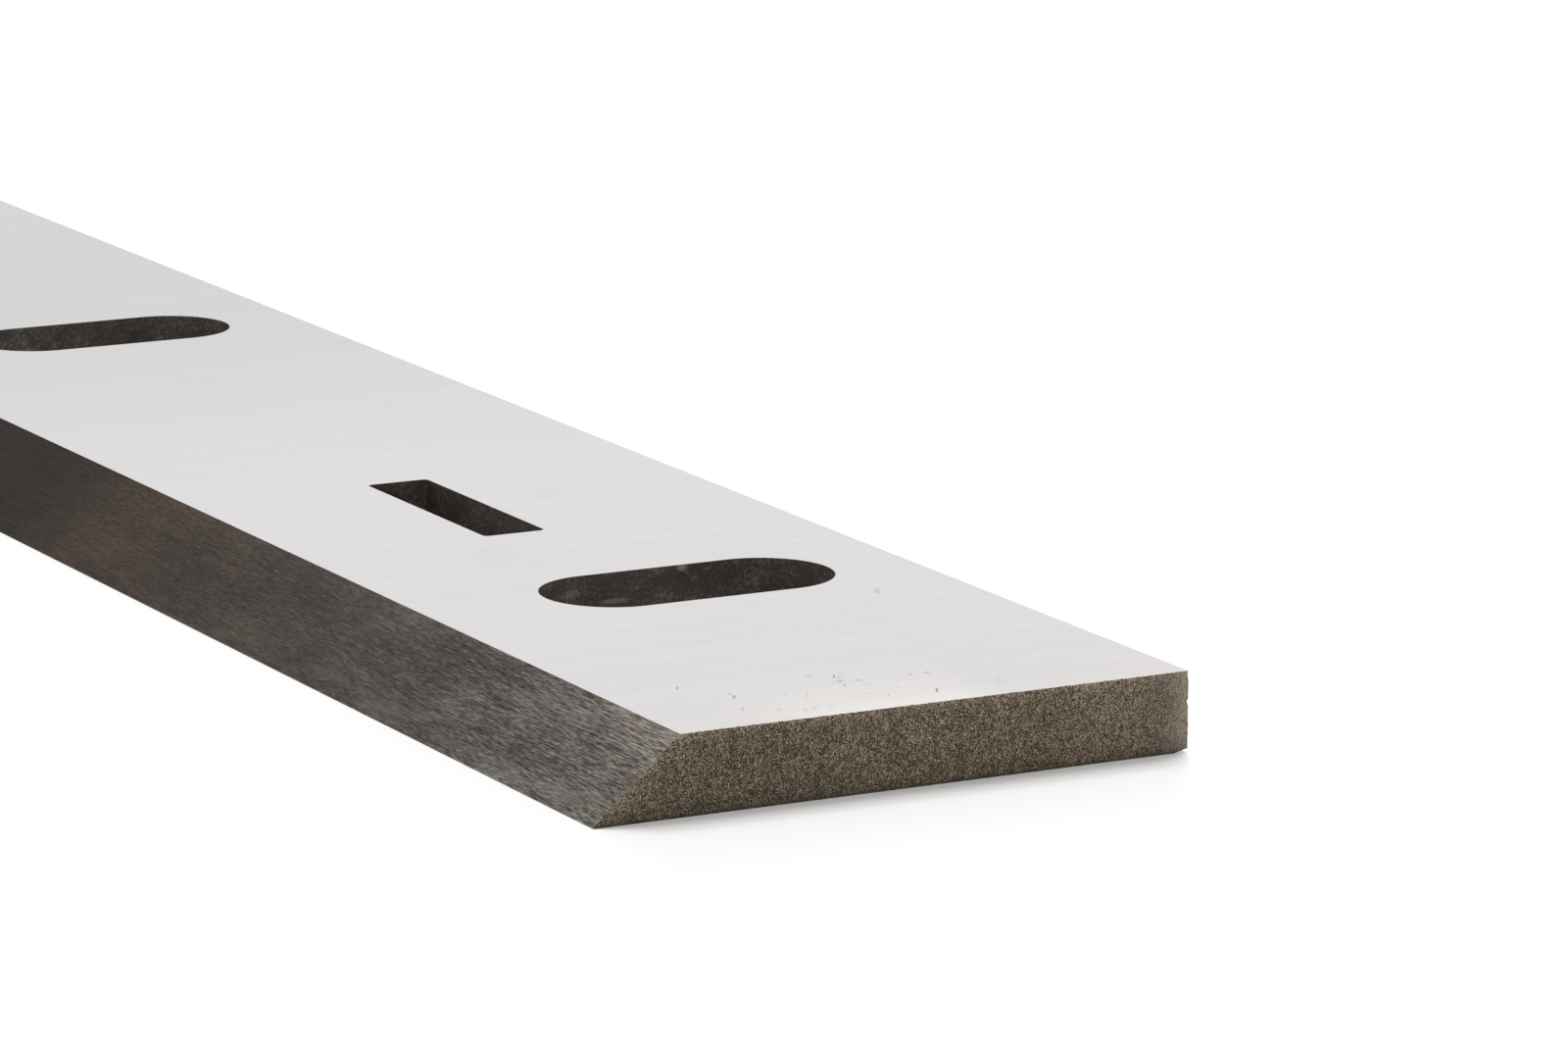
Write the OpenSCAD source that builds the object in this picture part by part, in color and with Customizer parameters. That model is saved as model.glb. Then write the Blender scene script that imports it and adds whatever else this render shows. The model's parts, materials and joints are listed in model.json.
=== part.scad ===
// Planer knife: a long, thin steel blade with one bevelled cutting edge, a row of cross slots for the
// screws that clamp it, and a small window near each end for the fork that sets its height.
// X runs along the knife, Y from the cutting edge to the back edge, Z up from the flat back that it
// lies on. The bevel faces up. Lengths are in millimetres and angles in degrees.

/* [Blade] */
// Length of the knife from end to end
knife_length = 406.4; // [350:0.1:640]
// Width of the knife from the cutting edge to the back edge
knife_width = 25.4; // [24:0.1:40]
// Thickness between the two ground faces
knife_thickness = 3.175; // [2.5:0.005:4]
// Width of the flat that breaks the lower corner of the back edge, across the knife
corner_break_width = 0.6; // [0.2:0.05:1]
// Height of that flat, up the back edge
corner_break_height = 0.15; // [0.05:0.05:0.5]

/* [Cutting edge] */
// Angle between the bevel and the flat back
bevel_angle = 41; // [35:0.5:50]
// Height of the dull land along the very tip of the cutting edge
edge_land = 0.06; // [0.02:0.01:0.2]

/* [Screw slots] */
// Number of slots along the knife
slot_count = 7; // [2:1:8]
// Width of a slot, which the shank of a clamping screw passes through
slot_width = 6; // [5:0.1:7]
// Overall length of a slot, across the knife
slot_length = 12.7; // [10:0.1:13.5]
// Width of the land left between the slots and the back edge
slot_back_land = 3.55; // [2:0.05:4.5]
// Distance from each end of the knife to the middle of the slot nearest to it
slot_end_distance = 22.4; // [18:0.1:28]

/* [Setting windows] */
// Length of a window, along the knife
window_length = 11.5; // [9:0.1:13]
// Width of a window, across the knife
window_width = 2.8; // [2:0.1:4]
// Distance from the back edge to the middle of a window
window_back_distance = 12; // [9:0.1:14]
// Distance from the middle of an end slot to the middle of the window beside it
window_slot_distance = 17.2; // [14:0.1:22]
// Radius in the corners of a window
window_corner_radius = 0.25; // [0.1:0.05:0.5]

/* [Hidden] */

// How far a cutting tool reaches past each face that it goes through
overshoot = 1;
// Facets of each round wall
$fn = 48;

// Y of the cutting edge and of the back edge, with the knife centred on its width
cutting_edge_y = -knife_width / 2;
back_edge_y = knife_width / 2;
// Width of the bevel as seen from above
bevel_run = (knife_thickness - edge_land) / tan(bevel_angle);

// The slots are evenly spaced from one end slot to the other
first_slot_x = knife_length / 2 - slot_end_distance;
slot_pitch = 2 * first_slot_x / (slot_count - 1);
slot_x = [for (i = [0 : slot_count - 1]) first_slot_x - i * slot_pitch];
slot_y = back_edge_y - slot_back_land - slot_length / 2;

// The windows lie inward of the two end slots
window_x = (first_slot_x - window_slot_distance) * [1, -1];
window_y = back_edge_y - window_back_distance;

// Section of the blade across its length: the flat back at the bottom and the bevel at the left
module blade_section() {
    polygon([
        [cutting_edge_y, 0],
        [back_edge_y - corner_break_width, 0],
        [back_edge_y, corner_break_height],
        [back_edge_y, knife_thickness],
        [cutting_edge_y + bevel_run, knife_thickness],
        [cutting_edge_y, edge_land]
    ]);
}

module blade_blank() {
    translate([-knife_length / 2, 0, 0])
        rotate([90, 0, 90])
            linear_extrude(height = knife_length)
                blade_section();
}

// Round-ended outline of a slot, with its long way across the knife
module slot_outline() {
    end_offset = (slot_length - slot_width) / 2;
    square([slot_width, 2 * end_offset], center = true);
    for (side = [-1, 1])
        translate([0, side * end_offset])
            circle(d = slot_width);
}

// Outline of a window: a rectangle with small round corners
module window_outline() {
    inner_length = window_length - 2 * window_corner_radius;
    inner_width = window_width - 2 * window_corner_radius;
    square([window_length, inner_width], center = true);
    square([inner_length, window_width], center = true);
    for (side_x = [-1, 1], side_y = [-1, 1])
        translate([side_x * inner_length / 2, side_y * inner_width / 2])
            circle(r = window_corner_radius);
}

// Cuts an outline right through the knife's thickness
module through_cut(x, y) {
    translate([x, y, -overshoot])
        linear_extrude(height = knife_thickness + 2 * overshoot)
            children();
}

module knife() {
    color("gainsboro")
        difference() {
            blade_blank();
            for (x = slot_x)
                through_cut(x, slot_y) slot_outline();
            for (x = window_x)
                through_cut(x, window_y) window_outline();
        }
}

knife();
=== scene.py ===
"""Looks of a planer knife: a ground steel blade with one bevelled edge, cross slots and setting windows.

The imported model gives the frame: X along the knife, Y from the cutting edge to the back edge, Z up from
the flat back that the knife lies on. Lengths are in metres unless a name says otherwise. One piece of
steel stands for the whole knife. Its faces carry five finishes: the ground flats, the ground bevel, the
long back edge, the two abrasive-cut ends and the walls of the slots and windows.
"""

import json
import logging
import math
import random
from dataclasses import dataclass, field
from enum import Enum, IntEnum
from functools import reduce

import bmesh
import bpy
from mathutils import Matrix, Vector, noise

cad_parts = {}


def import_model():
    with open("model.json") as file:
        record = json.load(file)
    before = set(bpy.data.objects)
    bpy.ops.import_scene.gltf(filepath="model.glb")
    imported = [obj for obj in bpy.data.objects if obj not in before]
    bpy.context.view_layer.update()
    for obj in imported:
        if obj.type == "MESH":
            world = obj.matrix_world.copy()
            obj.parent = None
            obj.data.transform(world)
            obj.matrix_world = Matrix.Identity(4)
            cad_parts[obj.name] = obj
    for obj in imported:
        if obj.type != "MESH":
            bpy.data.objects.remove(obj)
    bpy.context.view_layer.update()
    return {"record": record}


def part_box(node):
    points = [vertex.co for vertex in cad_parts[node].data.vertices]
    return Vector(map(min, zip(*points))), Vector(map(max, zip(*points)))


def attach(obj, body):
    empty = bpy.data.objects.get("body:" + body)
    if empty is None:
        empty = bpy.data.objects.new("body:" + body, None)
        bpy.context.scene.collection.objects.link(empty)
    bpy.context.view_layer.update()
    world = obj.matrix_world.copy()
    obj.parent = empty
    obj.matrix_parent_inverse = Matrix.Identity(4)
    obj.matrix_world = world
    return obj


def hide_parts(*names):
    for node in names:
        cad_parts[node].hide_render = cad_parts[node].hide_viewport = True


MM = 0.001
PHOTO_WIDTH_PX = 1600
PHOTO_HEIGHT_PX = 1066
NODE = "knife"
LOG = logging.getLogger("planer_knife")

# Points closer to a plane than this lie on it
TOUCH = 1e-6
# Points this close to a cutting plane are taken as cut by it
CUT_TOLERANCE = 1e-8
# Decimals of a metre to which places across the knife are compared
PLACE_DECIMALS = 6
# The middle of a layer of noise, and how much of a layer's shift goes along each axis
NOISE_MIDDLE = 0.5
SHIFT_SHARES = (1.0, 1.7, 2.3)

Colour = tuple[float, float, float]
Stops = tuple[tuple[float, Colour], ...]


class Region(IntEnum):
    """Finishes of the blade, in the order of its material slots."""

    GROUND = 0
    BEVEL = 1
    BACK_EDGE = 2
    CUT_END = 3
    WALL = 4


class Blend(Enum):
    """Ways in which one colour is laid over another."""

    COVER = "MIX"
    TINT = "MULTIPLY"


# Shader building


@dataclass(frozen=True)
class Grain:
    """One layer of noise, with a grain size of its own along each axis.

    Detail and roughness are the number and the strength of its finer layers. The shift moves the pattern,
    so that two layers differ. The contrast says how far the layer swings what it is added to.
    """

    size_mm: tuple[float, float, float]
    detail: float
    roughness: float
    shift: float
    contrast: float = 1.0


@dataclass(frozen=True)
class Fade:
    """An amount that sets in smoothly between two distances, the second of which may be the lower one."""

    from_mm: float
    full_mm: float
    amount: float = 1.0


class Signal:
    """One output of a shader node, which takes part in Python arithmetic."""

    def __init__(self, graph: "Graph", socket: bpy.types.NodeSocket) -> None:
        """Keep the socket and the graph that it belongs to.

        Args:
            graph: Graph that new nodes are added to.
            socket: Output socket that the signal stands for.
        """
        self.graph = graph
        self.socket = socket

    def _with(self, operation: str, first: "Signal | float", second: "Signal | float") -> "Signal":
        """Join two values in a Math node and return the result."""
        return self.graph.signal("ShaderNodeMath", {"operation": operation}, {0: first, 1: second})

    def __add__(self, other: "Signal | float") -> "Signal":
        """Return self + other."""
        return self._with("ADD", self, other)

    def __radd__(self, other: float) -> "Signal":
        """Return other + self."""
        return self._with("ADD", other, self)

    def __sub__(self, other: "Signal | float") -> "Signal":
        """Return self - other."""
        return self._with("SUBTRACT", self, other)

    def __rsub__(self, other: float) -> "Signal":
        """Return other - self."""
        return self._with("SUBTRACT", other, self)

    def __mul__(self, other: "Signal | float") -> "Signal":
        """Return self * other."""
        return self._with("MULTIPLY", self, other)

    def __rmul__(self, other: float) -> "Signal":
        """Return other * self."""
        return self._with("MULTIPLY", other, self)

    def __abs__(self) -> "Signal":
        """Return the size of self without its sign."""
        return self._with("ABSOLUTE", self, 0.0)

    def either(self, other: "Signal") -> "Signal":
        """Return the larger of two masks."""
        return self._with("MAXIMUM", self, other)

    def ramp(self, low: float, high: float) -> "Signal":
        """Rise smoothly from 0 to 1 between two values.

        Args:
            low: Value at which the result is 0.
            high: Value at which the result is 1. It may lie below low.

        Returns:
            The smooth step, between 0 and 1.
        """
        return self.graph.signal(
            "ShaderNodeMapRange",
            {"interpolation_type": "SMOOTHSTEP"},
            {"Value": self, "From Min": low, "From Max": high},
        )

    def fade(self, *fades: Fade) -> "Signal":
        """Return the sum of what one or more fades give at this distance."""
        parts = [self.ramp(fade.from_mm * MM, fade.full_mm * MM) * fade.amount for fade in fades]
        return reduce(Signal.__add__, parts)


class Layer(Signal):
    """A layer of noise, which also gives its swing about zero."""

    def __init__(self, graph: "Graph", socket: bpy.types.NodeSocket, contrast: float) -> None:
        """Keep the socket, its graph and the contrast.

        Args:
            graph: Graph that new nodes are added to.
            socket: Output socket of the noise.
            contrast: How far the layer swings what it is added to.
        """
        super().__init__(graph, socket)
        self.contrast = contrast

    def centred(self) -> Signal:
        """Return the noise about zero."""
        return self - NOISE_MIDDLE

    def swing(self) -> Signal:
        """Return the noise about zero, times its contrast."""
        return self.centred() * self.contrast


class Graph:
    """The nodes of one material or world."""

    def __init__(self, tree: bpy.types.NodeTree) -> None:
        """Start an empty graph.

        Args:
            tree: Node tree that is cleared and then filled.
        """
        self.tree = tree
        tree.nodes.clear()

    def node(
        self, kind: str, settings: dict[str, object], inputs: dict[int | str, object]
    ) -> bpy.types.Node:
        """Add one node.

        Args:
            kind: Type of the node.
            settings: Properties that are set before the sockets, or the stops of a colour ramp.
            inputs: Values or signals of the sockets, by name or number.

        Returns:
            The node.
        """
        made = self.tree.nodes.new(kind)
        for name, value in settings.items():
            if name == "stops":
                self._set_stops(made.color_ramp, value)
            else:
                setattr(made, name, value)
        for key, value in inputs.items():
            if isinstance(value, Signal):
                self.tree.links.new(value.socket, made.inputs[key])
            else:
                made.inputs[key].default_value = value
        return made

    def signal(
        self,
        kind: str,
        settings: dict[str, object],
        inputs: dict[int | str, object],
        output: int | str = 0,
    ) -> Signal:
        """Add one node and return one of its outputs.

        Args:
            kind: Type of the node.
            settings: Properties that are set before the sockets.
            inputs: Values or signals of the sockets.
            output: Output that is returned, by name or number.

        Returns:
            The output as a signal.
        """
        return Signal(self, self.node(kind, settings, inputs).outputs[output])

    def _set_stops(self, ramp: bpy.types.ColorRamp, stops: Stops) -> None:
        """Give a colour ramp its stops.

        Args:
            ramp: Ramp of the node.
            stops: Place and colour of each stop, from low to high.
        """
        while len(ramp.elements) < len(stops):
            ramp.elements.new(1.0)
        for element, (place, colour) in zip(ramp.elements, stops):
            element.position = place
            element.color = (*colour, 1.0)

    def place(self) -> Signal:
        """Return the point of the surface in Object coordinates."""
        return self.signal("ShaderNodeTexCoord", {}, {}, "Object")

    def axes(self, place: Signal) -> tuple[Signal, ...]:
        """Split a point into its X, Y and Z."""
        split = self.node("ShaderNodeSeparateXYZ", {}, {0: place})
        return tuple(Signal(self, output) for output in split.outputs)

    def length(self, vector: Signal) -> Signal:
        """Return the length of a vector."""
        return self.signal("ShaderNodeVectorMath", {"operation": "LENGTH"}, {0: vector}, "Value")

    def distance(self, place: Signal, centre: Vector, units: tuple[float, float, float]) -> Signal:
        """Return how far a point is from a centre, counted in a unit of its own along each axis.

        Args:
            place: Point of the surface.
            centre: The centre.
            units: Unit along X, Y and Z.

        Returns:
            The distance.
        """
        away = self.signal("ShaderNodeVectorMath", {"operation": "SUBTRACT"}, {0: place, 1: centre})
        shares = tuple(1.0 / unit for unit in units)
        return self.length(
            self.signal("ShaderNodeVectorMath", {"operation": "MULTIPLY"}, {0: away, 1: shares})
        )

    def seen(self) -> Signal:
        """Return 1 for rays of the camera, reflections and transmission, and 0 for all others."""
        path = self.node("ShaderNodeLightPath", {}, {})
        names = ("Is Camera Ray", "Is Glossy Ray", "Is Transmission Ray")
        return reduce(Signal.either, [Signal(self, path.outputs[name]) for name in names])

    def noise(self, place: Signal, grain: Grain) -> Layer:
        """Return one layer of smooth noise.

        Args:
            place: Point of the surface.
            grain: Sizes and strengths of the layer.

        Returns:
            Noise around its middle.
        """
        stretch = tuple(1.0 / (size * MM) for size in grain.size_mm)
        shift = tuple(grain.shift * share for share in SHIFT_SHARES)
        scaled = self.signal(
            "ShaderNodeVectorMath", {"operation": "MULTIPLY_ADD"}, {0: place, 1: stretch, 2: shift}
        )
        made = self.node(
            "ShaderNodeTexNoise",
            {},
            {"Vector": scaled, "Scale": 1.0, "Detail": grain.detail, "Roughness": grain.roughness},
        )
        return Layer(self, made.outputs[0], grain.contrast)

    def lay(
        self,
        mask: "Signal | float",
        below: "Signal | Colour",
        above: "Signal | Colour",
        way: Blend = Blend.COVER,
    ) -> Signal:
        """Lay one colour over another.

        Args:
            mask: How much of the upper colour shows.
            below: Colour underneath.
            above: Colour on top.
            way: How the two are joined.

        Returns:
            The joined colour.
        """
        lower, upper = (end if isinstance(end, Signal) else (*end, 1.0) for end in (below, above))
        settings = {"data_type": "RGBA", "blend_type": way.value}
        return self.signal("ShaderNodeMix", settings, {0: mask, 6: lower, 7: upper}, 2)

    def tones(self, value: Signal, stops: Stops) -> Signal:
        """Turn a value between 0 and 1 into a colour by a ramp."""
        return self.signal("ShaderNodeValToRGB", {"stops": stops}, {0: value})

    def tint(
        self, colour: Signal, value: Signal, stops: Stops, mask: "Signal | float" = 1.0
    ) -> Signal:
        """Multiply a colour by the tint that a ramp gives.

        Args:
            colour: Colour that is tinted.
            value: Value between 0 and 1, which picks the tint.
            stops: Place and colour of each tint.
            mask: How much of the tint shows.

        Returns:
            The tinted colour.
        """
        return self.lay(mask, colour, self.tones(value, stops), Blend.TINT)

    def scale(self, colour: Signal, red: Signal, green: Signal, blue: Signal) -> Signal:
        """Multiply the three parts of a colour.

        Args:
            colour: Colour that is scaled.
            red: Factor of its red.
            green: Factor of its green.
            blue: Factor of its blue.

        Returns:
            The scaled colour.
        """
        factors = self.signal("ShaderNodeCombineColor", {}, {0: red, 1: green, 2: blue})
        return self.lay(1.0, colour, factors, Blend.TINT)

    def relief(self, height: Signal, depth_mm: float) -> Signal:
        """Turn a height into a surface normal.

        Args:
            height: Height between 0 and 1.
            depth_mm: Depth that a height of 1 stands for, in millimetres.

        Returns:
            The normal.
        """
        inputs = {"Strength": 1.0, "Distance": depth_mm * MM, "Height": height}
        return self.signal("ShaderNodeBump", {}, inputs)


def new_material(name: str) -> tuple[bpy.types.Material, Graph]:
    """Make an empty node material.

    Args:
        name: Name of the material.

    Returns:
        The material and its graph.
    """
    material = bpy.data.materials.new(name)
    material.use_nodes = True
    return material, Graph(material.node_tree)


def finish_shader(graph: Graph, inputs: dict[int | str, object]) -> None:
    """Add the main shader and the output.

    Args:
        graph: Graph of the material.
        inputs: Sockets of the main shader.
    """
    shader = graph.signal("ShaderNodeBsdfPrincipled", {}, inputs)
    graph.node("ShaderNodeOutputMaterial", {}, {"Surface": shader})


def end_distance(along: Signal) -> Signal:
    """Return the distance from the nearer end of the knife."""
    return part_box(NODE)[1].x - abs(along)


# Viewpoint


@dataclass(frozen=True)
class Viewpoint:
    """The camera, at the place and angle from which the near end of the knife is seen."""

    beyond_near_end: float = 227.33 * MM
    before_cutting_edge: float = 114.25 * MM
    height: float = 66.62 * MM
    yaw_deg: float = 28.241
    pitch_deg: float = 12.227
    roll_deg: float = 0.224
    lens_mm: float = 164.90
    sensor_mm: float = 36.0
    clip_start: float = 0.01
    clip_end: float = 50.0

    def place(self) -> Vector:
        """Return where the camera stands, from the corner of the CAD box at the cutting edge."""
        low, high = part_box(NODE)
        return Vector((high.x + self.beyond_near_end, low.y - self.before_cutting_edge, self.height))

    def axes(self) -> Matrix:
        """Return the camera's right, up and backward directions as columns."""
        yaw = math.radians(self.yaw_deg)
        pitch = math.radians(self.pitch_deg)
        roll = math.radians(self.roll_deg)
        forward = Vector(
            (-math.cos(pitch) * math.cos(yaw), math.cos(pitch) * math.sin(yaw), -math.sin(pitch))
        )
        level = forward.cross(Vector((0, 0, 1))).normalized()
        upright = level.cross(forward)
        right = level * math.cos(roll) + upright * math.sin(roll)
        return Matrix((right, right.cross(forward), -forward)).transposed()

    def focal_px(self) -> float:
        """Return the focal length in pixels of the photograph."""
        return self.lens_mm / self.sensor_mm * PHOTO_WIDTH_PX

    def pixel_size(self, point: Vector) -> float:
        """Return the size that a pixel of the photograph has at a point."""
        return (point - self.place()).length / self.focal_px()

    def sight_turn(self) -> Matrix:
        """Return the turn about Z that lays the line of sight along X."""
        return Matrix.Rotation(math.radians(self.yaw_deg), 3, "Z")

    def on_level(self, pixel: tuple[float, float], level: float) -> Vector:
        """Find the point of a level plane that a pixel of the photograph shows.

        Args:
            pixel: Column and row in the photograph.
            level: Height of the plane.

        Returns:
            The point in the row frame.
        """
        ray = self.axes() @ Vector(
            (pixel[0] - PHOTO_WIDTH_PX / 2, PHOTO_HEIGHT_PX / 2 - pixel[1], -self.focal_px())
        )
        start = self.place()
        return start + ray * ((level - start.z) / ray.z)

    def build(self) -> None:
        """Make the scene's camera."""
        data = bpy.data.cameras.new("photograph_view")
        data.sensor_fit = "HORIZONTAL"
        data.sensor_width = self.sensor_mm
        data.lens = self.lens_mm
        data.clip_start = self.clip_start
        data.clip_end = self.clip_end
        camera = bpy.data.objects.new("photograph_view", data)
        camera.matrix_world = Matrix.Translation(self.place()) @ self.axes().to_4x4()
        bpy.context.scene.collection.objects.link(camera)
        bpy.context.scene.camera = camera


# Finishes


@dataclass(frozen=True)
class Mark:
    """A small stain, speck or nick, placed and sized as the photograph shows it.

    The pixel lies over the mark on the upper flat, and the depth says how far below that flat the mark is.
    """

    pixel: tuple[float, float]
    width_px: float
    height_px: float
    strength: float
    depth_mm: float = 0.0


@dataclass(frozen=True)
class GroundFlat:
    """The bright upper and lower flats, ground across the knife.

    They are a little warmer at the ends and darker away from them. Near each end a painted highlight lies
    across the middle of the flats. Specks and rust spots lie where the photograph shows them, beside a
    scuff of fine veins.
    """

    view: Viewpoint
    tone: Colour = (0.672, 0.655, 0.666)
    end_tone: Colour = (0.688, 0.666, 0.656)
    far_tone: Colour = (0.545, 0.543, 0.555)
    # Colour of the painted highlight near each end
    painted_glint: Colour = (0.800, 0.775, 0.745)
    stain: Colour = (0.070, 0.060, 0.050)
    rust: Colour = (0.400, 0.270, 0.160)
    tints: Stops = ((0.3, (1.0, 0.980, 0.985)), (0.7, (0.985, 0.990, 0.970)))
    roughness: float = 0.24
    roughness_swing: float = 0.10
    stain_roughness: float = 0.3
    stain_dulling: float = 0.7
    relief_mm: float = 0.0006
    relief_of_bands: float = 0.5
    clouds: Grain = Grain((26, 16, 16), 2.0, 0.5, 3.0, 0.07)
    bands: Grain = Grain((0.60, 14, 14), 2.0, 0.6, 7.0, 0.09)
    lines: Grain = Grain((0.17, 22, 22), 3.0, 0.7, 1.0, 0.17)
    tint_clouds: Grain = Grain((1.6, 5.0, 5.0), 2.0, 0.5, 27.0)
    veins: Grain = Grain((1.3, 0.34, 1.0), 2.0, 0.6, 11.0)
    vein_edge: tuple[float, float] = (0.040, 0.010)
    vein_patches: Grain = Grain((1.8, 0.45, 1.0), 2.0, 0.6, 17.0)
    vein_patch_edge: tuple[float, float] = (0.50, 0.58)
    vein_strength: float = 0.22
    end_zone: Fade = Fade(6, 0)
    far_zone: Fade = Fade(42, 95)
    # Painted highlight: a glint laid into the colour near each end, across the middle of the flats
    painted_glint_rim: Fade = Fade(1.9, 0.5, 0.50)
    painted_glint_band: Fade = Fade(6.5, 1.5, 0.45)
    painted_glint_starts: Fade = Fade(-7.0, -1.5)
    painted_glint_stops: Fade = Fade(5.5, 2.5)
    spot_edge: tuple[float, float] = (1.3, 0.4)
    specks: tuple[Mark, ...] = (
        Mark((691, 702), 2.5, 3.4, 0.52),
        Mark((749, 711), 4.2, 3.4, 0.52),
        Mark((745, 708), 5.1, 2.2, 0.28),
        Mark((758, 723), 5.0, 3.0, 0.25),
        Mark((795, 724), 3.4, 2.5, 0.24),
        Mark((956, 704), 3.0, 4.2, 0.72),
        Mark((851, 690), 3.0, 4.0, 0.58),
        Mark((857, 695), 6.0, 2.5, 0.34),
        Mark((862, 699), 4.0, 2.8, 0.34),
        Mark((876, 694), 10.0, 2.5, 0.22),
        Mark((825, 690), 7.0, 2.5, 0.22),
        Mark((929, 688), 5.0, 2.5, 0.28),
        Mark((946, 686), 7.0, 2.5, 0.24),
        Mark((917, 701), 2.5, 2.5, 0.24),
        Mark((907, 709), 2.5, 2.5, 0.28),
        Mark((802, 708), 2.5, 2.5, 0.21),
        Mark((1020, 694), 3.4, 3.4, 0.21),
        Mark((778, 642), 2.5, 2.5, 0.14),
    )
    rust_spots: tuple[Mark, ...] = (
        Mark((895, 603), 7.6, 6.8, 0.39),
        Mark((822, 724), 6.0, 4.0, 0.26),
        Mark((831, 723), 6.0, 4.0, 0.26),
        Mark((824, 710), 4.2, 6.0, 0.24),
        Mark((848, 721), 6.8, 3.4, 0.21),
        Mark((1092, 644), 4.2, 3.4, 0.17),
        Mark((558, 503), 36, 18, 0.07),
        Mark((504, 567), 50, 22, 0.05),
    )
    scuff: Mark = Mark((857, 697), 84, 26, 1.0)

    def _spots(self, graph: Graph, sighted: Signal, marks: tuple[Mark, ...]) -> Signal:
        """Return one mask of several marks.

        Args:
            graph: Graph of the material.
            sighted: Point of the surface, turned so that X runs along the line of sight.
            marks: The marks.

        Returns:
            The mask, which reaches a mark's strength at its centre.
        """
        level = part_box(NODE)[1].z
        slant = math.sin(math.radians(self.view.pitch_deg))
        masks = []
        for mark in marks:
            centre = self.view.on_level(mark.pixel, level)
            half_pixel = self.view.pixel_size(centre) / 2
            units = (mark.height_px * half_pixel / slant, mark.width_px * half_pixel, MM)
            centre.rotate(self.view.sight_turn())
            masks.append(graph.distance(sighted, centre, units).ramp(*self.spot_edge) * mark.strength)
        return reduce(Signal.either, masks)

    def _stains(self, graph: Graph, sighted: Signal) -> Signal:
        """Return the mask of the dark specks and of the veins in the scuff.

        Args:
            graph: Graph of the material.
            sighted: Point of the surface, turned so that X runs along the line of sight.

        Returns:
            The mask.
        """
        veins = abs(graph.noise(sighted, self.veins).centred()).ramp(*self.vein_edge)
        patches = graph.noise(sighted, self.vein_patches).ramp(*self.vein_patch_edge)
        scuff = veins * patches * self._spots(graph, sighted, (self.scuff,)) * self.vein_strength
        return self._spots(graph, sighted, self.specks).either(scuff)

    def build(self) -> bpy.types.Material:
        """Make the material.

        Returns:
            The material of the ground flats.
        """
        material, graph = new_material("ground_flat")
        place = graph.place()
        along, over, _ = graph.axes(place)
        from_end = end_distance(along)
        clouds = graph.noise(place, self.clouds)
        bands = graph.noise(place, self.bands)
        lines = graph.noise(place, self.lines)
        tone = graph.lay(from_end.fade(self.end_zone), self.tone, self.end_tone)
        tone = graph.lay(from_end.fade(self.far_zone), tone, self.far_tone)
        light = 1.0 + clouds.swing() + bands.swing() + lines.swing()
        tone = graph.scale(tone, light, light, light)
        # Painted highlight near each end, across the middle of the flat
        painted_glint_mask = from_end.fade(self.painted_glint_rim, self.painted_glint_band)
        painted_glint_mask = painted_glint_mask * over.fade(self.painted_glint_starts) * over.fade(self.painted_glint_stops)
        tone = graph.lay(painted_glint_mask, tone, self.painted_glint)
        tone = graph.tint(tone, graph.noise(place, self.tint_clouds), self.tints)

        turn = (0.0, 0.0, math.radians(self.view.yaw_deg))
        sighted = graph.signal("ShaderNodeMapping", {}, {"Vector": place, "Rotation": turn})
        stains = self._stains(graph, sighted)
        tone = graph.lay(self._spots(graph, sighted, self.rust_spots), tone, self.rust)
        tone = graph.lay(stains, tone, self.stain)
        dulled = self.roughness + stains * self.stain_roughness
        finish_shader(
            graph,
            {
                "Base Color": tone,
                "Metallic": 1.0 - stains * self.stain_dulling,
                "Roughness": dulled + lines.centred() * self.roughness_swing,
                "Normal": graph.relief(lines + bands * self.relief_of_bands, self.relief_mm),
            },
        )
        return material


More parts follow.
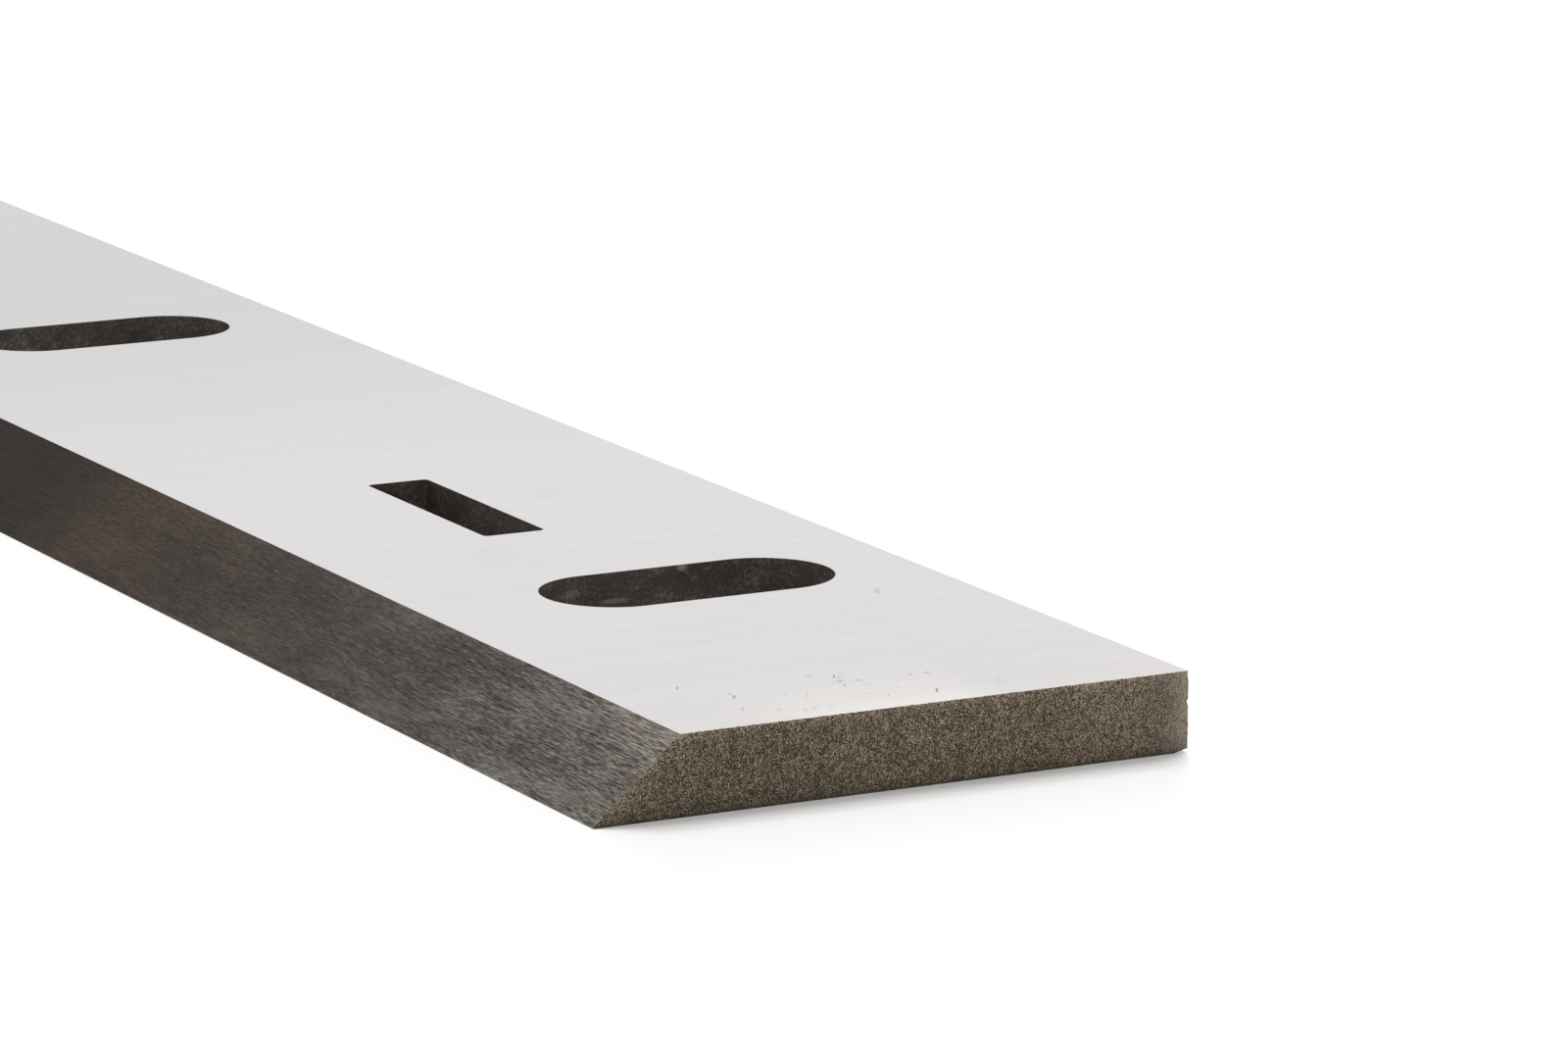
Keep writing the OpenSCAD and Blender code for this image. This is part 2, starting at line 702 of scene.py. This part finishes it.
@dataclass(frozen=True)
class GroundBevel:
    """The darker bevel, ground along the knife, with fine short streaks.

    Away from an end it grows darker, browner and softer, and midway along the knife it is lighter again.
    Its dark tone is partly painted shade, for the dark surroundings that the bevel mirrors, and the
    darkening and browning away from an end are painted shade, as the bevel looks darker in view there.
    """

    # The tones are partly painted shade, for the dark surroundings that the bevel mirrors
    dark: Colour = (0.014, 0.012, 0.011)
    middle: Colour = (0.126, 0.108, 0.099)
    light: Colour = (0.450, 0.420, 0.400)
    middle_at: float = 0.42
    rim: Colour = (0.260, 0.250, 0.240)
    patch: Colour = (0.235, 0.215, 0.195)
    tints: Stops = (
        (0.35, (1.0, 0.91, 0.91)),
        (0.5, (1.0, 0.985, 0.94)),
        (0.65, (0.89, 0.99, 0.90)),
    )
    sheen_at_edges: Colour = (0.76, 0.76, 0.76)
    roughness: float = 0.42
    roughness_swing: float = 0.2
    relief_mm: float = 0.006
    relief_of_short: float = 0.6
    short: Grain = Grain((0.52, 0.046, 0.046), 2.0, 0.60, 2.0, 1.95)
    thin: Grain = Grain((1.7, 0.042, 0.042), 1.0, 0.5, 5.0, 0.95)
    middling: Grain = Grain((1.9, 0.12, 0.12), 2.0, 0.6, 9.0, 0.50)
    long: Grain = Grain((7.0, 0.20, 0.20), 2.0, 0.6, 13.0, 0.35)
    clouds: Grain = Grain((2.6, 0.9, 0.9), 2.0, 0.5, 21.0, 0.28)
    drifts: Grain = Grain((9.0, 2.6, 2.6), 2.0, 0.5, 23.0, 0.70)
    softer: Fade = Fade(4, 26, 0.46)
    tone_level: float = 0.432
    end_lift: Fade = Fade(3.0, 0.3, 0.03)
    top_lift: Fade = Fade(1.7, 2.9, 0.20)
    top_lift_loss: Fade = Fade(5, 18, 0.90)
    low_lift: Fade = Fade(1.6, 0.3, 0.08)
    low_lift_loss: Fade = Fade(8, 26)
    tint_clouds: Grain = Grain((1.6, 0.45, 0.45), 3.0, 0.65, 34.0)
    tint_loss: Fade = Fade(8, 40, 0.4)
    wear: Grain = Grain((3.5, 0.8, 0.5), 3.0, 0.6, 41.0)
    wear_edge: tuple[float, float] = (0.50, 0.64)
    wear_zone: Fade = Fade(1.5, 0.1, 0.55)
    # Painted shade: the bevel is darkened away from an end, as it looks darker in view there
    darker: tuple[Fade, ...] = (
        Fade(-2, 9, 0.35),
        Fade(17, 30, 0.22),
        Fade(30, 48, 0.06),
        Fade(47, 60, 0.25),
    )
    midway: Fade = Fade(62, 115)
    midway_lift: float = 0.26
    browner: Fade = Fade(12, 60)
    midway_brown_loss: float = 0.6
    green_share: float = 0.985
    green_loss: float = 0.25
    blue_share: float = 0.965
    blue_loss: float = 0.46
    fraying: Grain = Grain((0.3, 0.12, 0.12), 2.0, 0.6, 51.0, 0.5 * MM)
    rim_zone: Fade = Fade(0.16, 0.02, 0.38)

    def _paint_shade_along(self, graph: Graph, tone: Signal, from_end: Signal) -> Signal:
        """Paint shade along the knife: make a tone darker and browner away from an end, and lighter again
        midway.

        Args:
            graph: Graph of the material.
            tone: Tone of the streaks.
            from_end: Distance from the nearer end.

        Returns:
            The darkened tone.
        """
        midway = from_end.fade(self.midway)
        share = 1.0 - from_end.fade(*self.darker) + midway * self.midway_lift
        browner = from_end.fade(self.browner) - midway * self.midway_brown_loss
        green = share * (self.green_share - browner * self.green_loss)
        blue = share * (self.blue_share - browner * self.blue_loss)
        return graph.scale(tone, share, green, blue)

    def build(self) -> bpy.types.Material:
        """Make the material.

        Returns:
            The material of the bevel.
        """
        material, graph = new_material("ground_bevel")
        place = graph.place()
        along, _, up = graph.axes(place)
        from_end = end_distance(along)
        short = graph.noise(place, self.short)
        middling = graph.noise(place, self.middling)
        uneven = short.swing() + middling.swing()
        for grain in (self.thin, self.long, self.clouds, self.drifts):
            uneven = uneven + graph.noise(place, grain).swing()
        value = self.tone_level + from_end.fade(self.end_lift)
        value = value + uneven * (1.0 - from_end.fade(self.softer))
        value = value + up.fade(self.top_lift) * (1.0 - from_end.fade(self.top_lift_loss))
        value = value + up.fade(self.low_lift) * (1.0 - from_end.fade(self.low_lift_loss))
        tone = graph.tones(value, ((0.0, self.dark), (self.middle_at, self.middle), (1.0, self.light)))
        tinted = 1.0 - from_end.fade(self.tint_loss)
        tone = graph.tint(tone, graph.noise(place, self.tint_clouds), self.tints, tinted)
        worn = graph.noise(place, self.wear).ramp(*self.wear_edge)
        tone = graph.lay(worn * up.fade(self.wear_zone), tone, self.patch)
        # Painted shade along the knife
        tone = self._paint_shade_along(graph, tone, from_end)
        frayed = from_end + graph.noise(place, self.fraying).swing()
        tone = graph.lay(frayed.fade(self.rim_zone), tone, self.rim)
        finish_shader(
            graph,
            {
                "Base Color": tone,
                "Specular Tint": (*self.sheen_at_edges, 1.0),
                "Metallic": 1.0,
                "Roughness": self.roughness + middling.centred() * self.roughness_swing,
                "Normal": graph.relief(short * self.relief_of_short + middling, self.relief_mm),
            },
        )
        return material


@dataclass(frozen=True)
class GroundBackEdge:
    """The long narrow back edge, ground along the knife."""

    stops: Stops = ((0.15, (0.26, 0.25, 0.24)), (0.75, (0.45, 0.44, 0.43)))
    tone_level: float = 0.5
    roughness: float = 0.34
    roughness_swing: float = 0.2
    relief_mm: float = 0.004
    fine: Grain = Grain((5.0, 0.06, 0.06), 2.0, 0.6, 4.0, 0.9)
    coarse: Grain = Grain((18.0, 0.25, 0.25), 2.0, 0.6, 8.0, 0.8)

    def build(self) -> bpy.types.Material:
        """Make the material.

        Returns:
            The material of the back edge.
        """
        material, graph = new_material("ground_back_edge")
        place = graph.place()
        fine = graph.noise(place, self.fine)
        coarse = graph.noise(place, self.coarse)
        finish_shader(
            graph,
            {
                "Base Color": graph.tones(self.tone_level + fine.swing() + coarse.swing(), self.stops),
                "Metallic": 1.0,
                "Roughness": self.roughness + coarse.centred() * self.roughness_swing,
                "Normal": graph.relief(fine + coarse, self.relief_mm),
            },
        )
        return material


@dataclass(frozen=True)
class CutEnd:
    """The abrasive-cut end, with a coarse matt grain.

    It is lighter near its rims, most of all at the back edge, and darker along its foot, where painted
    shade stands for the shadow at the floor.
    """

    # Colour of the grain's pits, also used for the painted shade along the foot
    pit_and_foot_shade: Colour = (0.020, 0.016, 0.010)
    middle: Colour = (0.1165, 0.0935, 0.0585)
    fleck: Colour = (0.575, 0.482, 0.355)
    middle_at: float = 0.42
    rubbed: Colour = (0.215, 0.195, 0.168)
    tints: Stops = (
        (0.35, (0.88, 1.0, 0.78)),
        (0.5, (1.0, 0.96, 0.92)),
        (0.65, (1.0, 0.84, 0.98)),
    )
    metallic: float = 0.25
    roughness: float = 0.75
    relief_mm: float = 0.05
    relief_of_clumps: float = 0.5
    grain: Grain = Grain((0.062, 0.062, 0.062), 2.0, 0.6, 6.0, 3.3)
    clumps: Grain = Grain((0.15, 0.15, 0.15), 2.0, 0.5, 12.0, 1.1)
    drifts: Grain = Grain((0.45, 0.45, 0.45), 2.0, 0.5, 15.0, 0.20)
    bands: Grain = Grain((4.0, 0.70, 9.0), 2.0, 0.5, 18.0, 0.30)
    tint_grain: Grain = Grain((0.23, 0.23, 0.23), 2.0, 0.6, 25.0)
    tone_level: float = 0.374
    lighter_across: tuple[Fade, ...] = (
        Fade(-8, 13, 0.085),
        Fade(-7, -11, 0.06),
        Fade(11.4, 12.5, 0.26),
    )
    lighter_upwards: tuple[Fade, ...] = (Fade(2.2, 3.1, 0.03), Fade(2.80, 3.16, 0.12))
    bevel_run_per_height: float = 1.15
    lighter_at_bevel: Fade = Fade(-12.0, -12.6, 0.10)
    rubbed_zone: Fade = Fade(10.2, 12.6, 0.40)
    # Painted shade along the foot of the end, where it meets the floor
    painted_foot_shade: tuple[Fade, ...] = (Fade(0.75, 0.05, 0.30), Fade(0.14, 0.05, 0.60))

    def build(self) -> bpy.types.Material:
        """Make the material.

        Returns:
            The material of the two ends.
        """
        material, graph = new_material("cut_end")
        place = graph.place()
        _, over, up = graph.axes(place)
        grain = graph.noise(place, self.grain)
        clumps = graph.noise(place, self.clumps)
        value = self.tone_level + grain.swing() + clumps.swing()
        for layer in (self.drifts, self.bands):
            value = value + graph.noise(place, layer).swing()
        value = value + over.fade(*self.lighter_across) + up.fade(*self.lighter_upwards)
        value = value + (over - up * self.bevel_run_per_height).fade(self.lighter_at_bevel)
        tone = graph.tones(value, ((0.0, self.pit_and_foot_shade), (self.middle_at, self.middle), (1.0, self.fleck)))
        tone = graph.tint(tone, graph.noise(place, self.tint_grain), self.tints)
        tone = graph.lay(over.fade(self.rubbed_zone), tone, self.rubbed)
        # Painted shade along the foot, laid in the colour of the pits
        for foot in self.painted_foot_shade:
            tone = graph.lay(up.fade(foot), tone, self.pit_and_foot_shade)
        finish_shader(
            graph,
            {
                "Base Color": tone,
                "Metallic": self.metallic,
                "Roughness": self.roughness,
                "Normal": graph.relief(grain + clumps * self.relief_of_clumps, self.relief_mm),
            },
        )
        return material


@dataclass(frozen=True)
class PiercedWall:
    """The dark, uneven walls of the slots and windows, with the small bright nicks at a slot's rim."""

    view: Viewpoint
    dark: Colour = (0.022, 0.017, 0.014)
    middle: Colour = (0.063, 0.046, 0.034)
    scuffed: Colour = (0.170, 0.160, 0.145)
    middle_at: float = 0.5
    bare: Colour = (0.330, 0.310, 0.280)
    metallic: float = 0.3
    roughness: float = 0.65
    relief_mm: float = 0.04
    grain: Grain = Grain((0.14, 0.14, 0.14), 2.0, 0.6, 14.0, 1.5)
    patches: Grain = Grain((1.3, 1.3, 0.9), 2.0, 0.5, 22.0, 0.9)
    tone_level: float = 0.46
    rubbing: Grain = Grain((0.9, 0.9, 0.5), 3.0, 0.6, 33.0)
    rubbing_edge: tuple[float, float] = (0.60, 0.72)
    rubbing_strength: float = 0.7
    nick_edge: tuple[float, float] = (1.4, 0.5)
    nicks: tuple[Mark, ...] = (
        Mark((694, 575), 14, 9, 0.80, 0.10),
        Mark((676, 577), 8, 6, 0.35, 0.10),
        Mark((586, 590), 22, 9, 0.30, 0.75),
        Mark((626, 583), 32, 6, 0.40, 1.20),
    )

    def _nicked(self, graph: Graph, place: Signal) -> Signal:
        """Return the mask of the nicks.

        Args:
            graph: Graph of the material.
            place: Point of the surface.

        Returns:
            The mask, which reaches a nick's strength at its centre.
        """
        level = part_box(NODE)[1].z
        masks = []
        for nick in self.nicks:
            centre = self.view.on_level(nick.pixel, level)
            half_pixel = self.view.pixel_size(centre) / 2
            across = nick.width_px * half_pixel
            centre.z -= nick.depth_mm * MM
            distance = graph.distance(place, centre, (across, across, nick.height_px * half_pixel))
            masks.append(distance.ramp(*self.nick_edge) * nick.strength)
        return reduce(Signal.either, masks)

    def build(self) -> bpy.types.Material:
        """Make the material.

        Returns:
            The material of the walls.
        """
        material, graph = new_material("pierced_wall")
        place = graph.place()
        grain = graph.noise(place, self.grain)
        patches = graph.noise(place, self.patches)
        value = self.tone_level + grain.swing() + patches.swing()
        tone = graph.tones(value, ((0.0, self.dark), (self.middle_at, self.middle), (1.0, self.scuffed)))
        rubbed = graph.noise(place, self.rubbing).ramp(*self.rubbing_edge)
        tone = graph.lay(rubbed * self.rubbing_strength, tone, self.scuffed)
        tone = graph.lay(self._nicked(graph, place), tone, self.bare)
        finish_shader(
            graph,
            {
                "Base Color": tone,
                "Metallic": self.metallic,
                "Roughness": self.roughness,
                "Normal": graph.relief(grain + patches, self.relief_mm),
            },
        )
        return material


@dataclass(frozen=True)
class PaleFloor:
    """The plain pale floor, which glows a little for the camera and for reflections, more so far away."""

    tone: Colour = (0.86, 0.86, 0.86)
    seen_tone: Colour = (0.97, 0.965, 0.955)
    unlit: Colour = (0.0, 0.0, 0.0)
    glow: Colour = (0.10, 0.10, 0.10)
    far_glow: Colour = (0.60, 0.60, 0.60)
    far_zone: Fade = Fade(280, 1000)
    roughness: float = 0.35
    shine: float = 0.15

    def build(self) -> bpy.types.Material:
        """Make the material.

        Returns:
            The material of the floor.
        """
        material, graph = new_material("plain_floor")
        seen = graph.seen()
        distance = graph.length(graph.place())
        glow = graph.lay(distance.fade(self.far_zone), self.glow, self.far_glow)
        finish_shader(
            graph,
            {
                "Base Color": graph.lay(seen, self.tone, self.seen_tone),
                "Roughness": self.roughness,
                "Specular IOR Level": self.shine,
                "Emission Color": graph.lay(seen, self.unlit, glow),
                "Emission Strength": 1.0,
            },
        )
        return material


# The blade


@dataclass(frozen=True)
class Opening:
    """A slot or a window: a round-cornered hole through the blade."""

    x: float
    y: float
    along: float
    across: float
    corner_radius: float
    segments: int


@dataclass
class Blade:
    """The knife itself, one piece of steel with all its faces.

    Its outer sizes come from the CAD box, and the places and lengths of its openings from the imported
    record. The ends are divided into small cells, whose corners are pressed in to make their grain.
    """

    view: Viewpoint
    bevel_angle_deg: float = 41.0
    edge_land: float = 0.06 * MM
    corner_break_width: float = 0.6 * MM
    corner_break_height: float = 0.15 * MM
    window_across: float = 2.8 * MM
    window_corner_radius: float = 0.25 * MM
    window_segments: int = 32
    slot_segments: int = 96
    flat_face_slope: float = 0.96
    bevel_face_slope: float = 0.2
    grain_cell: float = 0.085 * MM
    grain_slide: float = 0.30
    swell_size: float = 0.16 * MM
    swell_contrast: float = 0.7
    end_swell: float = 0.02475 * MM
    end_scatter: float = 0.03025 * MM
    rim_swell: float = 0.025 * MM
    rim_chip: float = 0.11 * MM
    rim_scatter: float = 0.035 * MM
    chip_scale: float = 0.7
    chip_shift: tuple[float, float, float] = (9.0, 5.0, 3.0)
    land_share: float = 0.3
    seed: int = 7
    low: Vector = field(init=False)
    high: Vector = field(init=False)

    def __post_init__(self) -> None:
        """Take the outer sizes from the CAD box."""
        self.low, self.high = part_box(NODE)

    def _openings(self, record: dict) -> list[Opening]:
        """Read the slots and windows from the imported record.

        Args:
            record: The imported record.

        Returns:
            Every opening of the blade.
        """
        found = []
        for mount in record["mounts"]:
            sizes = mount.get("dims") or {}
            x, y, _ = mount["pos_m"]
            if "slot_length_mm" in sizes:
                radius = sizes["hole_r_mm"] * MM
                length = sizes["slot_length_mm"] * MM
                found.append(Opening(x, y, 2 * radius, length, radius, self.slot_segments))
            elif "length_mm" in sizes:
                length = sizes["length_mm"] * MM
                radius = self.window_corner_radius
                found.append(Opening(x, y, length, self.window_across, radius, self.window_segments))
        return found

    def _draw_opening(self, bm: bmesh.types.BMesh, opening: Opening) -> None:
        """Draw a round-cornered outline by moving the quarters of a circle apart.

        Args:
            bm: Mesh that is being drawn.
            opening: The opening.
        """
        turn = Matrix.Rotation(math.pi / opening.segments, 4, "Z")
        ring = bmesh.ops.create_circle(
            bm, cap_ends=False, segments=opening.segments, radius=opening.corner_radius, matrix=turn
        )["verts"]
        reach_x = opening.along / 2 - opening.corner_radius
        reach_y = opening.across / 2 - opening.corner_radius
        quarters = []
        for side_x in (-1, 1):
            for side_y in (-1, 1):
                quarter = [v for v in ring if v.co.x * side_x > 0 and v.co.y * side_y > 0]
                shift = Vector((opening.x + side_x * reach_x, opening.y + side_y * reach_y, self.low.z))
                quarters.append((quarter, shift))
        for quarter, shift in quarters:
            bmesh.ops.translate(bm, verts=quarter, vec=shift)

    def _draw_plan(self, bm: bmesh.types.BMesh, openings: list[Opening]) -> None:
        """Draw the outline of the knife from above, with fine steps along its two ends, and fill it.

        Args:
            bm: Empty mesh.
            openings: Slots and windows that stay open.
        """
        half = (self.high - self.low) / 2
        middle = (self.high + self.low) / 2
        spread = Matrix.Diagonal((half.x, half.y, 1, 1))
        place = Matrix.Translation((middle.x, middle.y, self.low.z)) @ spread
        bmesh.ops.create_grid(bm, x_segments=1, y_segments=1, size=1.0, matrix=place)
        bmesh.ops.delete(bm, geom=bm.faces[:], context="FACES_ONLY")
        ends = [e for e in bm.edges if abs(e.verts[0].co.x - e.verts[1].co.x) < TOUCH]
        steps = round((self.high.y - self.low.y) / self.grain_cell)
        bmesh.ops.subdivide_edges(bm, edges=ends, cuts=steps - 1)
        for opening in openings:
            self._draw_opening(bm, opening)
        bmesh.ops.triangle_fill(bm, use_beauty=True, use_dissolve=False, edges=bm.edges[:])

    def _raise(self, bm: bmesh.types.BMesh) -> None:
        """Give the filled plan its thickness and divide the ends into fine rows.

        Args:
            bm: Mesh of the filled plan.
        """
        thickness = self.high.z - self.low.z
        made = bmesh.ops.extrude_face_region(bm, geom=bm.faces[:])["geom"]
        top = [v for v in made if isinstance(v, bmesh.types.BMVert)]
        bmesh.ops.translate(bm, verts=top, vec=(0, 0, thickness))
        rows = round(thickness / self.grain_cell)
        upright = [e for e in bm.edges if self._is_upright_at_end(e)]
        bmesh.ops.subdivide_edges(bm, edges=upright, cuts=rows - 1, use_grid_fill=True)

    def _at_end(self, x: float) -> bool:
        """Tell whether a place along the knife is one of its two ends."""
        return self.high.x - abs(x) < TOUCH

    def _is_upright_at_end(self, edge: bmesh.types.BMEdge) -> bool:
        """Tell whether an edge stands upright in one of the two ends."""
        first, second = (v.co for v in edge.verts)
        return (self._at_end(first.x) or self._at_end(second.x)) and abs(first.z - second.z) > TOUCH

    def _cut(self, bm: bmesh.types.BMesh, point: Vector, outward: Vector) -> None:
        """Cut away everything beyond a plane and close the cut.

        Args:
            bm: Mesh that is cut.
            point: Point of the plane.
            outward: Direction of what is removed.
        """
        geometry = bm.verts[:] + bm.edges[:] + bm.faces[:]
        cut = bmesh.ops.bisect_plane(
            bm, geom=geometry, dist=CUT_TOLERANCE, plane_co=point, plane_no=outward, clear_outer=True
        )["geom_cut"]
        rim = [e for e in cut if isinstance(e, bmesh.types.BMEdge)]
        bmesh.ops.edgeloop_fill(bm, edges=rim)

    def _grind(self, bm: bmesh.types.BMesh) -> None:
        """Grind the bevel, and break the lower corner of the back edge.

        Args:
            bm: Mesh of the raised plan.
        """
        tilt = math.radians(self.bevel_angle_deg)
        self._cut(
            bm,
            Vector((0, self.low.y, self.low.z + self.edge_land)),
            Vector((0, -math.sin(tilt), math.cos(tilt))),
        )
        self._cut(
            bm,
            Vector((0, self.high.y, self.low.z + self.corner_break_height)),
            Vector((0, self.corner_break_height, -self.corner_break_width)),
        )
        bmesh.ops.recalc_face_normals(bm, faces=bm.faces[:])
        bm.normal_update()

    def _region(self, face: bmesh.types.BMFace) -> Region:
        """Name the finish of a face.

        Args:
            face: Face of the undisturbed blade.

        Returns:
            Its finish.
        """
        slope = abs(face.normal.z)
        centre = face.calc_center_median()
        if self._at_end(centre.x):
            return Region.CUT_END
        if slope > self.flat_face_slope:
            return Region.GROUND
        if slope > self.bevel_face_slope or centre.y - self.low.y < TOUCH:
            return Region.BEVEL
        if self.high.y - centre.y < TOUCH:
            return Region.BACK_EDGE
        return Region.WALL

    def _assign_finishes(self, bm: bmesh.types.BMesh) -> None:
        """Give each face its finish, and shade only the walls of the openings smooth.

        Args:
            bm: Mesh of the undisturbed blade.
        """
        for face in bm.faces:
            region = self._region(face)
            face.material_index = region
            face.smooth = region is Region.WALL
        for edge in bm.edges:
            if any(face.material_index != Region.WALL for face in edge.link_faces):
                edge.smooth = False

    def _end_points(self, bm: bmesh.types.BMesh) -> list[bmesh.types.BMVert]:
        """Return the points of both ends by place, as the mesh operators' order varies between runs."""
        points = [v for v in bm.verts if self._at_end(v.co.x)]
        return sorted(points, key=lambda v: (v.co.x > 0, round(v.co.y, PLACE_DECIMALS), v.co.z))

    def _roughen_ends(self, bm: bmesh.types.BMesh) -> None:
        """Press a coarse grain into both ends. A point on the rim moves only along the knife.

        Args:
            bm: Mesh of the blade.
        """
        chance = random.Random(self.seed)
        slide = self.grain_cell * self.grain_slide
        for vert in self._end_points(bm):
            inward = -1.0 if vert.co.x > 0 else 1.0
            spot = vert.co / self.swell_size
            swell = 0.5 + self.swell_contrast * noise.noise(spot)
            if any(face.material_index != Region.CUT_END for face in vert.link_faces):
                chip = max(0.0, noise.noise(spot * self.chip_scale + Vector(self.chip_shift)))
                depth = self.rim_swell * swell + self.rim_chip * chip + self.rim_scatter * chance.random()
                depth *= self.land_share if vert.co.z - self.low.z < self.edge_land else 1.0
            else:
                depth = self.end_swell * swell + self.end_scatter * chance.random()
                vert.co.y += chance.uniform(-slide, slide)
                vert.co.z += chance.uniform(-slide, slide)
            vert.co.x += inward * max(0.0, depth)

    def build(self, record: dict) -> bpy.types.Object:
        """Make the blade.

        Args:
            record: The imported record.

        Returns:
            The blade as one object.
        """
        bm = bmesh.new()
        self._draw_plan(bm, self._openings(record))
        self._raise(bm)
        self._grind(bm)
        self._assign_finishes(bm)
        self._roughen_ends(bm)
        mesh = bpy.data.meshes.new("blade_steel")
        bm.to_mesh(mesh)
        bm.free()
        finishes = {
            Region.GROUND: GroundFlat(self.view),
            Region.BEVEL: GroundBevel(),
            Region.BACK_EDGE: GroundBackEdge(),
            Region.CUT_END: CutEnd(),
            Region.WALL: PiercedWall(self.view),
        }
        for region in Region:
            mesh.materials.append(finishes[region].build())
        blade = bpy.data.objects.new("blade_steel", mesh)
        bpy.context.scene.collection.objects.link(blade)
        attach(blade, "root")
        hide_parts(NODE)
        return blade


# Studio


@dataclass(frozen=True)
class Studio:
    """The plain floor, the even white surroundings and one soft overhead light."""

    floor_half_width: float = 3.0
    sky_level: float = 0.50
    lamp_place: tuple[float, float, float] = (-0.18, 0.42, 0.88)
    lamp_width: float = 0.50
    lamp_watts: float = 8.1

    def _floor(self) -> None:
        """Lay the floor."""
        bm = bmesh.new()
        bmesh.ops.create_grid(bm, x_segments=4, y_segments=4, size=self.floor_half_width)
        mesh = bpy.data.meshes.new("plain_floor")
        bm.to_mesh(mesh)
        bm.free()
        mesh.materials.append(PaleFloor().build())
        floor = bpy.data.objects.new("plain_floor", mesh)
        bpy.context.scene.collection.objects.link(floor)

    def _sky(self) -> None:
        """Give the world an even white light, which the camera and reflections see as white."""
        world = bpy.data.worlds.new("even_white")
        bpy.context.scene.world = world
        world.use_nodes = True
        graph = Graph(world.node_tree)
        level = self.sky_level + graph.seen() * (1.0 - self.sky_level)
        light = graph.signal("ShaderNodeBackground", {}, {"Color": (1.0, 1.0, 1.0, 1.0), "Strength": level})
        graph.node("ShaderNodeOutputWorld", {}, {"Surface": light})

    def _lamp(self) -> None:
        """Hang the soft overhead light."""
        data = bpy.data.lights.new("soft_overhead", "AREA")
        data.shape = "SQUARE"
        data.size = self.lamp_width
        data.energy = self.lamp_watts
        lamp = bpy.data.objects.new("soft_overhead", data)
        lamp.location = self.lamp_place
        lamp.visible_glossy = False
        bpy.context.scene.collection.objects.link(lamp)

    def build(self) -> None:
        """Make the floor, the world and the lamp."""
        self._floor()
        self._sky()
        self._lamp()
        bpy.context.scene.view_settings.view_transform = "Standard"


def main() -> None:
    """Load the frame, build the view, the studio and the blade."""
    logging.basicConfig(level=logging.INFO, format="%(name)s: %(message)s")
    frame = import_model()
    view = Viewpoint()
    view.build()
    LOG.info("camera at %s", [round(v, 4) for v in view.place()])
    Studio().build()
    blade = Blade(view).build(frame["record"])
    LOG.info("%s: %d faces", blade.name, len(blade.data.polygons))


if __name__ == "__main__":
    main()
